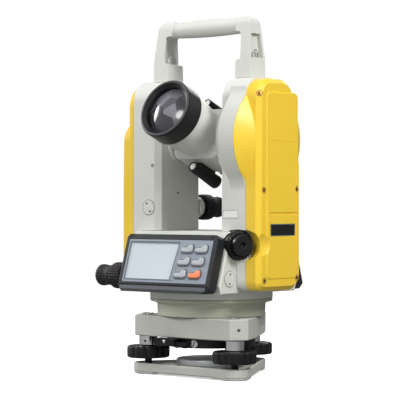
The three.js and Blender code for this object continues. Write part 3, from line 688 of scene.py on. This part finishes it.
def make_swivel_lock():
    """Lever of the clamp ring: a curved finger piece with a mark, a stop behind it and a slotted screw."""
    facing_front = Matrix.Rotation(math.pi / 2, 4, "X")
    finger = arc(-24, 32.2, 4, 100, 262) + [(-19, 28.3), (-8, 29.6), (-2.2, 30.4), (-2.2, 36), (-14, 36.1)]
    stop = arc(-1.8, 29.4, 2.1, 120, 300, 5) + [(2, 28.6), (6, 27.4), (9.8, 27.6), (9.8, 32.8), (-3.4, 32.8)]
    lever = merged(prism(finger, LEVER_BACK, FINGER_FRONT), prism(stop, LEVER_BACK, STOP_FRONT))
    build("lock_lever_fine", lever, UPRIGHT @ facing_front, "swivel_lock", "black_paint", ("lock_lever",),
          bevel_mm=0.8)
    mark = prism([(-1.9, 1.4), (1.9, 1.4), (0, -1.9)], 0, 0.25)
    place = Matrix.Translation(LOCK_MARK_SPOT) @ facing_front @ UPRIGHT
    build("lock_mark", mark, place, "swivel_lock", "white_mark")
    screw_at(LOCK_SCREW_SPOT, LOCK_SCREW_FACING, 3.6, "lock_screw", "swivel_lock", 70)


def make_foot_pads():
    """Rubber rims around the three pads that the base plate stands on."""
    for foot in FEET:
        x, y = foot_spot(foot)
        place = Matrix.Translation((x, y, 0)) @ UPRIGHT
        build(foot.replace("screw", "pad"), lathe(PAD_RIM, sides=72), place, "tribrach", "pad_rubber")


# ---------------------------------------------------------------- knobs
BASE_HALF_WIDTH = 58 * MM
VERTICAL_STRETCH = 0.85      # the vertical pair of knobs is this much shorter than the horizontal pair
CLAMP_RING = [
    (3.4, 2), (9.5, 2), (9.5, 6), (11.4, 6.1), (12.3, 6.8), (12.6, 8), (12.6, 18.6), (12.3, 19.7),
    (11.4, 20.3), (6, 20.4), (6, 22), (3.4, 22), (3.4, 2),
]
CLAMP_RIBS = {"ribs": 28, "depth": 0.5, "zone": (6.6, 19.8), "sharpness": 0.5}
TANGENT_KNOB = [
    (0, 0.4), (3, 0.4), (3, 22.4), (8.6, 22.4), (9.6, 22.9), (10, 24), (9.7, 26), (9.4, 29), (9.7, 32),
    (10.3, 35), (10.4, 36.6), (10.1, 38.2), (9.2, 39.4), (7.6, 39.9), (6.8, 39.6), (0, 39.6),
]
TANGENT_RIBS = {"ribs": 24, "depth": 0.3, "zone": (23, 38)}


def make_knob_pair(kind, origin, axis, stretch):
    place = frame_on(origin, axis) @ Matrix.Diagonal((1, 1, stretch, 1))
    clamp, tangent = f"{kind}_clamp", f"{kind}_tangent"
    ring = lathe(CLAMP_RING, sides=168, **CLAMP_RIBS)
    build(clamp + "_fine", ring, place, clamp, "black_plastic", (clamp,))
    knob = lathe(TANGENT_KNOB, sides=144, **TANGENT_RIBS)
    build(tangent + "_fine", knob, place, tangent, "knob_rubber", (tangent,))


def make_knobs():
    _, y, z = JOINTS["horizontal_clamp_turn"]["pos_m"]
    make_knob_pair("horizontal", (-BASE_HALF_WIDTH, y, z), (-1, 0, 0), 1)
    x, _, z = JOINTS["vertical_clamp_turn"]["pos_m"]
    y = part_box("vertical_clamp")[0][1] - CLAMP_RING[0][1] * VERTICAL_STRETCH * MM
    make_knob_pair("vertical", (x, y, z), (0, 1, 0), VERTICAL_STRETCH)


def make_plummet():
    """Focusing ring with its toothed rim, and the eyepiece inside it."""
    joint = JOINTS["plummet_focus_turn"]
    place = frame_on(joint["pos_m"], joint["axis"])
    ring = lathe([
        (6.2, 62.4), (11.6, 62.4), (12.8, 63), (13.2, 64.2), (13.2, 72.2), (12.9, 73.2), (12.2, 74),
        (11.6, 74.1), (11.4, 73.6), (10.6, 73.4), (10.6, 71), (6.2, 71), (6.2, 62.4),
    ], sides=160, ribs=40, depth=0.3, zone=(63.5, 72.5))
    build("plummet_ring_fine", ring, place, "plummet_focus_ring", "black_plastic", ("plummet_focus_ring",))
    teeth = lathe([
        (10.6, 73), (11.9, 73), (11.9, 76.2), (11.4, 76.8), (10.6, 76.8), (10.6, 73),
    ], sides=144, ribs=18, depth=0.9, zone=(73.5, 77), sharpness=0.5)
    build("plummet_teeth", teeth, place, "plummet_focus_ring", "black_plastic")
    eyepiece = lathe([
        (0, 64), (5.8, 64), (5.8, 71.6), (9.1, 71.6), (9.5, 72), (9.5, 81.8), (9.2, 83), (8.6, 83.5),
        (3.4, 83.5), (2.4, 82.8), (1.6, 80.4), (0, 80),
    ], sides=96)
    build("plummet_eyepiece_fine", eyepiece, place, "plummet_eyepiece", "satin_black", ("plummet_eyepiece",))


# ---------------------------------------------------------------- telescope
LENS_CURVE = 46              # radius of the objective's front surface
LENS_RIM = 22.2
LENS_TOP = 72.4
LENS_STEPS = 14
SIGHT_WINDOWS = (("upper", 30.6, 20), ("lower", -33.2, 16))      # height over the axis, front end


def lens_section():
    """Objective from its flat back to the top of its domed front."""
    half_angle = math.asin(LENS_RIM / LENS_CURVE)
    front = []
    for k in range(LENS_STEPS + 1):
        angle = half_angle * (1 - k / LENS_STEPS)
        front.append((LENS_CURVE * math.sin(angle), LENS_TOP - LENS_CURVE * (1 - math.cos(angle))))
    return [(0, 62), (LENS_RIM, 63)] + front


def make_telescope():
    """Hood, lens, focusing ring, eyepiece and sight windows; local +Z runs along the line of sight."""
    place = frame_on(JOINTS["telescope_tilt"]["pos_m"], JOINTS["focus_turn"]["axis"])
    hood = lathe([
        (22.6, 54.3), (28.2, 54.3), (28.7, 54.9), (28.7, 72), (28.3, 73.2), (27.4, 73.9), (26.4, 74),
        (25.6, 73.7), (24.6, 72.6), (23.6, 71.7), (22.8, 71.2), (22.6, 70.4), (22.6, 54.3),
    ], sides=160)
    build("objective_hood_fine", hood, place, "telescope", "satin_black", ("objective_hood",))
    face = lathe([(25.8, 73.7), (26, 74), (27.3, 74), (28, 73.6), (27.4, 73.4), (25.8, 73.7)], sides=160)
    build("hood_face", face, place, "telescope", "hood_gray")
    build("objective_lens_fine", lathe(lens_section(), sides=128), place, "telescope", "lens_glass",
          ("objective_lens",))
    focus = lathe([
        (9.4, -51), (18.6, -51), (20.4, -50.4), (21, -49), (21, -36.6), (20.4, -35.2), (19, -34.4),
        (9.4, -34.4), (9.4, -51),
    ], sides=192, ribs=32, depth=1.1, zone=(-49.5, -36), sharpness=0.5)
    build("focus_ring_fine", focus, place, "focus_ring", "black_plastic", ("focus_ring",))
    eyepiece = lathe([
        (3, -51.4), (12.9, -51.4), (13.8, -52.4), (14, -54), (14, -63), (13.4, -65), (12.4, -66),
        (12.4, -72.6), (11.8, -74.2), (10.4, -75), (6.4, -75), (4.6, -74.2), (3.6, -71.6), (3, -69),
        (3, -51.4),
    ], sides=120, ribs=30, depth=0.5, zone=(-63.5, -53))
    build("eyepiece_fine", eyepiece, place, "eyepiece", "black_plastic", ("eyepiece",))
    glass = lathe([(0, -70.4), (3.3, -70.4), (3.3, -71), (0, -71.6)], sides=32)
    build("eyepiece_glass", glass, place, "eyepiece", "lens_glass")
    for name, height, end in SIGHT_WINDOWS:
        window = lathe([(0, -0.9), (3.1, -0.9), (3.1, -0.4), (2.4, -0.1), (0, 0)], sides=40)
        build(f"sight_window_{name}", moved(window, y=height, z=end), place, "telescope", "white_mark")


# ---------------------------------------------------------------- covers, standards and handle
CORNER_SCREW = (2.7, -31, 262)                       # depth behind the cover's face, y and z
CORNER_FACING = (0.71, -0.67, 0.23)                  # square to the slanted edge
FACE_SCREWS = ((-26.8, 174), (-26.2, 91.5), (22.5, 175), (22.5, 93))      # y and z
FACE_SCREW_DEPTH = 0.8
PLATE_HALF = (18.2, 5.5)
PLATE_SPOT = (0.5, 0.6, 137.5)                       # depth behind the cover's face, y and z
LABEL_HALF = (9, 3.7)
LABEL_SPOT = (51.2, 152)                             # x and z on the right standard's front
STANDARD_CAP = (-49, 158)                            # x and z on the left standard's front
STANDARD_SCREW = (-44, 198)
STANDARD_DOT = (37, -6, 172)                         # x, y and z on the standards' inner faces
BASE_CAP = (44, 93)                                  # y and z on the base's sides
HANDLE_SCREWS = (("left", -48.4), ("right", 56.4))   # x
HANDLE_SCREW_SPOT = (-4.2, 297.2)                    # y and z


def make_cover_details():
    """Screws of the right cover and its blank black plate."""
    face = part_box("right_cover")[1][0]
    depth, y, z = CORNER_SCREW
    cross_screw((face - depth * MM, y * MM, z * MM), CORNER_FACING, 0)
    for index, (y, z) in enumerate(FACE_SCREWS, start=1):
        cross_screw((face - FACE_SCREW_DEPTH * MM, y * MM, z * MM), (1, 0, 0), index)
    width, height = PLATE_HALF
    depth, y, z = PLATE_SPOT
    place = frame_on((face - depth * MM, y * MM, z * MM), (1, 0, 0))
    plate = prism(centred(width, height, 0.8), 0, 0.35)
    build("blank_plate", plate, place, "alidade", "plate_black", bevel_mm=0.12)
    edge = band(centred(width, height, 0.8), centred(width - 0.7, height - 0.7, 0.5), 0.3, 0.42)
    build("blank_plate_edge", edge, place, "alidade", "bezel_gray")


def make_standard_details():
    """Blank label, pin caps and small screws of the standards and the base."""
    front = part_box("left_standard")[0][1]

    def on_front(spot):
        return (spot[0] * MM, front, spot[1] * MM)

    width, height = LABEL_HALF
    place = frame_on(on_front(LABEL_SPOT), FRONTWARDS)
    build("blank_label", prism(centred(width, height, 0.5), 0, 0.12), place, "alidade", "label_white")
    edge = band(centred(width, height, 0.5), centred(width - 0.4, height - 0.4, 0.3), 0.1, 0.16)
    build("blank_label_edge", edge, place, "alidade", "bezel_gray")
    pin_cap(on_front(STANDARD_CAP), FRONTWARDS, 7.3, "standard_cap", 118)
    y, z = BASE_CAP
    for end, sign in (("a", -1), ("b", 1)):
        pin_cap((sign * BASE_HALF_WIDTH, -sign * y * MM, z * MM), (sign, 0, 0), 7.4, f"base_cap_{end}", 84)
    screw_at(on_front(STANDARD_SCREW), FRONTWARDS, 2, "standard_screw", "alidade", 60)
    x, y, z = STANDARD_DOT
    for end, sign in (("a", -1), ("b", 1)):
        dot = lathe([(0, 0), (1, 0), (1.1, 0.08), (0, 0.1)], sides=20)
        place = frame_on((sign * x * MM, y * MM, z * MM), (-sign, 0, 0))
        build(f"standard_dot_{end}", dot, place, "alidade", "hollow_shade_and_dark_line")


def make_handle_screws():
    """Knurled locking screws that stand in the pockets of the handle's legs."""
    y, z = HANDLE_SCREW_SPOT
    for name, x in HANDLE_SCREWS:
        place = Matrix.Translation((x * MM, y * MM, z * MM)) @ UPRIGHT
        knurl = lathe([
            (0, 0), (2.4, 0), (2.6, 0.3), (2.6, 4.4), (2.3, 4.8), (1.3, 4.8), (1.3, 7.4), (1, 7.8), (0, 7.8),
        ], sides=96, ribs=24, depth=0.2, zone=(0.2, 4.5))
        build(f"handle_screw_{name}", knurl, place, "alidade", "chrome")


# ---------------------------------------------------------------- keyboards (X right, Y up, Z out)
PANEL_TILT = 17.1            # degrees back from the vertical
PANEL_TOP = (0, -0.057, 0.1335)
DISPLAY_EDGES = (-49, -44.2, 12, -7.6)       # left, bottom, right, top
DISPLAY_SLANT = 4.2          # the display's right edge leans in by this much at the bottom
LIP_EDGES = (-51.8, -53.4, 51.8, -50)
FACE_CORNERS = ((-49.6, -2.6), (49.6, -2.6), (-52.6, -49.4), (52.6, -49.4))
CORNER_HALF = 1.5
KEY_COLUMNS = (22.5, 39.5)
KEY_ROWS = (-13.6, -25.6, -37.6)
KEY_SLANT = 0.12
KEY_PILLOW = ((0, -2.4), (0, 0.6), (-0.2, 1), (-0.6, 1.35), (-1.1, 1.5), (-1.6, 1.55))    # growth, height
SHADOW_GROWTH = (1.2, 0.2)     # outer and inner edge of the painted shadow round each key, beyond the key's outline
# the painted shadow is shifted towards the lower right
SHADOW_SHIFT = (0.25, -0.35)


def key_outline(growth):
    """Rounded key whose top edge steps down to the left in a soft curve."""
    start, end = (4.2, 3.8 + growth), (-1.4, 1 + growth)
    pull_a, pull_b = (1.6, 4 + growth), (1.4, 1 + growth)
    step = []
    for k in range(1, 9):
        t = k / 8
        weights = ((1 - t) ** 3, 3 * t * (1 - t) ** 2, 3 * t * t * (1 - t), t ** 3)
        pulls = list(zip(weights, (start, pull_a, pull_b, end)))
        step.append(tuple(sum(weight * point[axis] for weight, point in pulls) for axis in (0, 1)))
    return (arc(-4.6, -1.4, 2.4 + growth, 90, 270) + arc(3.4, -1, 2.8 + growth, -90, 0)
            + arc(4.2, 1.8, 2 + growth, 0, 90) + step)


def make_key(side, row, column, x, y, face):
    # a flat gray band under each key, shifted to the lower right: painted shadow of the key
    outer, inner = SHADOW_GROWTH
    well = band(key_outline(outer), key_outline(inner), -0.2, -0.04)
    well = moved(well, x + SHADOW_SHIFT[0], y + SHADOW_SHIFT[1])
    build(f"key_well_{side}_{row}{column}", well, face, "alidade", "shadow_gray")
    key = f"key_{side}_{row}{column}"
    pillow = loft([(key_outline(growth), z) for growth, z in KEY_PILLOW])
    build(key + "_fine", moved(pillow, x, y), face, key, SLOT_OF[key], (key,))


def make_keyboard_details(side):
    """Slanted display frame, lower lip, corner recesses shown as near-black patches of painted shade, and
    pillow-topped keys ringed by painted shadow.
    """
    turn = Matrix.Rotation(0 if side == "front" else math.pi, 4, "Z")
    lean = Matrix.Rotation(math.radians(90 - PANEL_TILT), 4, "X")
    face = turn @ Matrix.Translation(PANEL_TOP) @ lean @ UPRIGHT
    left, bottom, right, top = DISPLAY_EDGES
    low_right = right - DISPLAY_SLANT
    mask = prism([(low_right, bottom), (right + 0.2, bottom), (right + 0.2, top), (right, top)], -0.85, -0.2)
    build(f"display_mask_{side}", mask, face, "alidade", "panel_blue")
    gasket = band(
        [(left, bottom), (low_right, bottom), (right, top), (left, top)],
        [(left + 1, bottom + 1), (low_right - 0.9, bottom + 1), (right - 1.1, top - 1), (left + 1, top - 1)],
        -0.88, -0.12)
    build(f"display_gasket_{side}", gasket, face, "alidade", "bezel_gray")
    lip = prism(rounded(*LIP_EDGES, 0.6), -0.1, 0.2)
    build(f"housing_lip_{side}", lip, face, "alidade", "lip_gray", bevel_mm=0.1)
    # near-black patches, a little proud of the face, stand for the corner recesses: painted shade
    for index, (x, y) in enumerate(FACE_CORNERS):
        recess = moved(prism(centred(CORNER_HALF, CORNER_HALF, 0.5), -0.02, 0.04), x, y)
        build(f"corner_recess_shade_{side}_{index}", recess, face, "alidade", "hollow_shade_and_dark_line")
    for row, y in enumerate(KEY_ROWS, start=1):
        for column, x in zip("ab", KEY_COLUMNS):
            make_key(side, row, column, x + (y - KEY_ROWS[0]) * KEY_SLANT, y, face)


# ---------------------------------------------------------------- run
# Edge rounding, in millimetres, of the CAD nodes that are shown as they are.
ROUNDING = {
    "base_plate": 0.5, "centre_bush": 0.3, "spring_plate": 0.2, "tribrach_body": 0.35, "lock_ring": 0.3,
    "horizontal_circle": 0.1, "alidade_base": 1.4, "vertical_spindle": 0.3, "plate_level": 0.2,
    "plummet_tube": 0.2, "right_standard": 1.2, "left_standard": 1.2, "right_cover": 1.0, "left_cover": 1.0,
    "battery_pack": 0.8, "handle": 1.6, "telescope_body": 1.2, "sight_upper": 0.4, "sight_lower": 0.4,
    "vertical_circle": 0.1,
}
HOUSING_ROUNDING = 0.7
PANEL_ROUNDING = 0.15

make_camera()
make_studio()
for node, radius in ROUNDING.items():
    dress_node(node, radius, SLOT_OF[node])
for side in ("front", "rear"):
    dress_node(f"keyboard_housing_{side}", HOUSING_ROUNDING, "housing_gray")
    for node in (f"key_panel_{side}", f"display_{side}"):
        dress_node(node, PANEL_ROUNDING, SLOT_OF[node])
make_foot_screws()
make_lower_base()
make_round_level()
make_swivel_lock()
make_knobs()
make_plummet()
make_telescope()
make_foot_pads()
make_cover_details()
make_standard_details()
make_handle_screws()
for side in ("front", "rear"):
    make_keyboard_details(side)
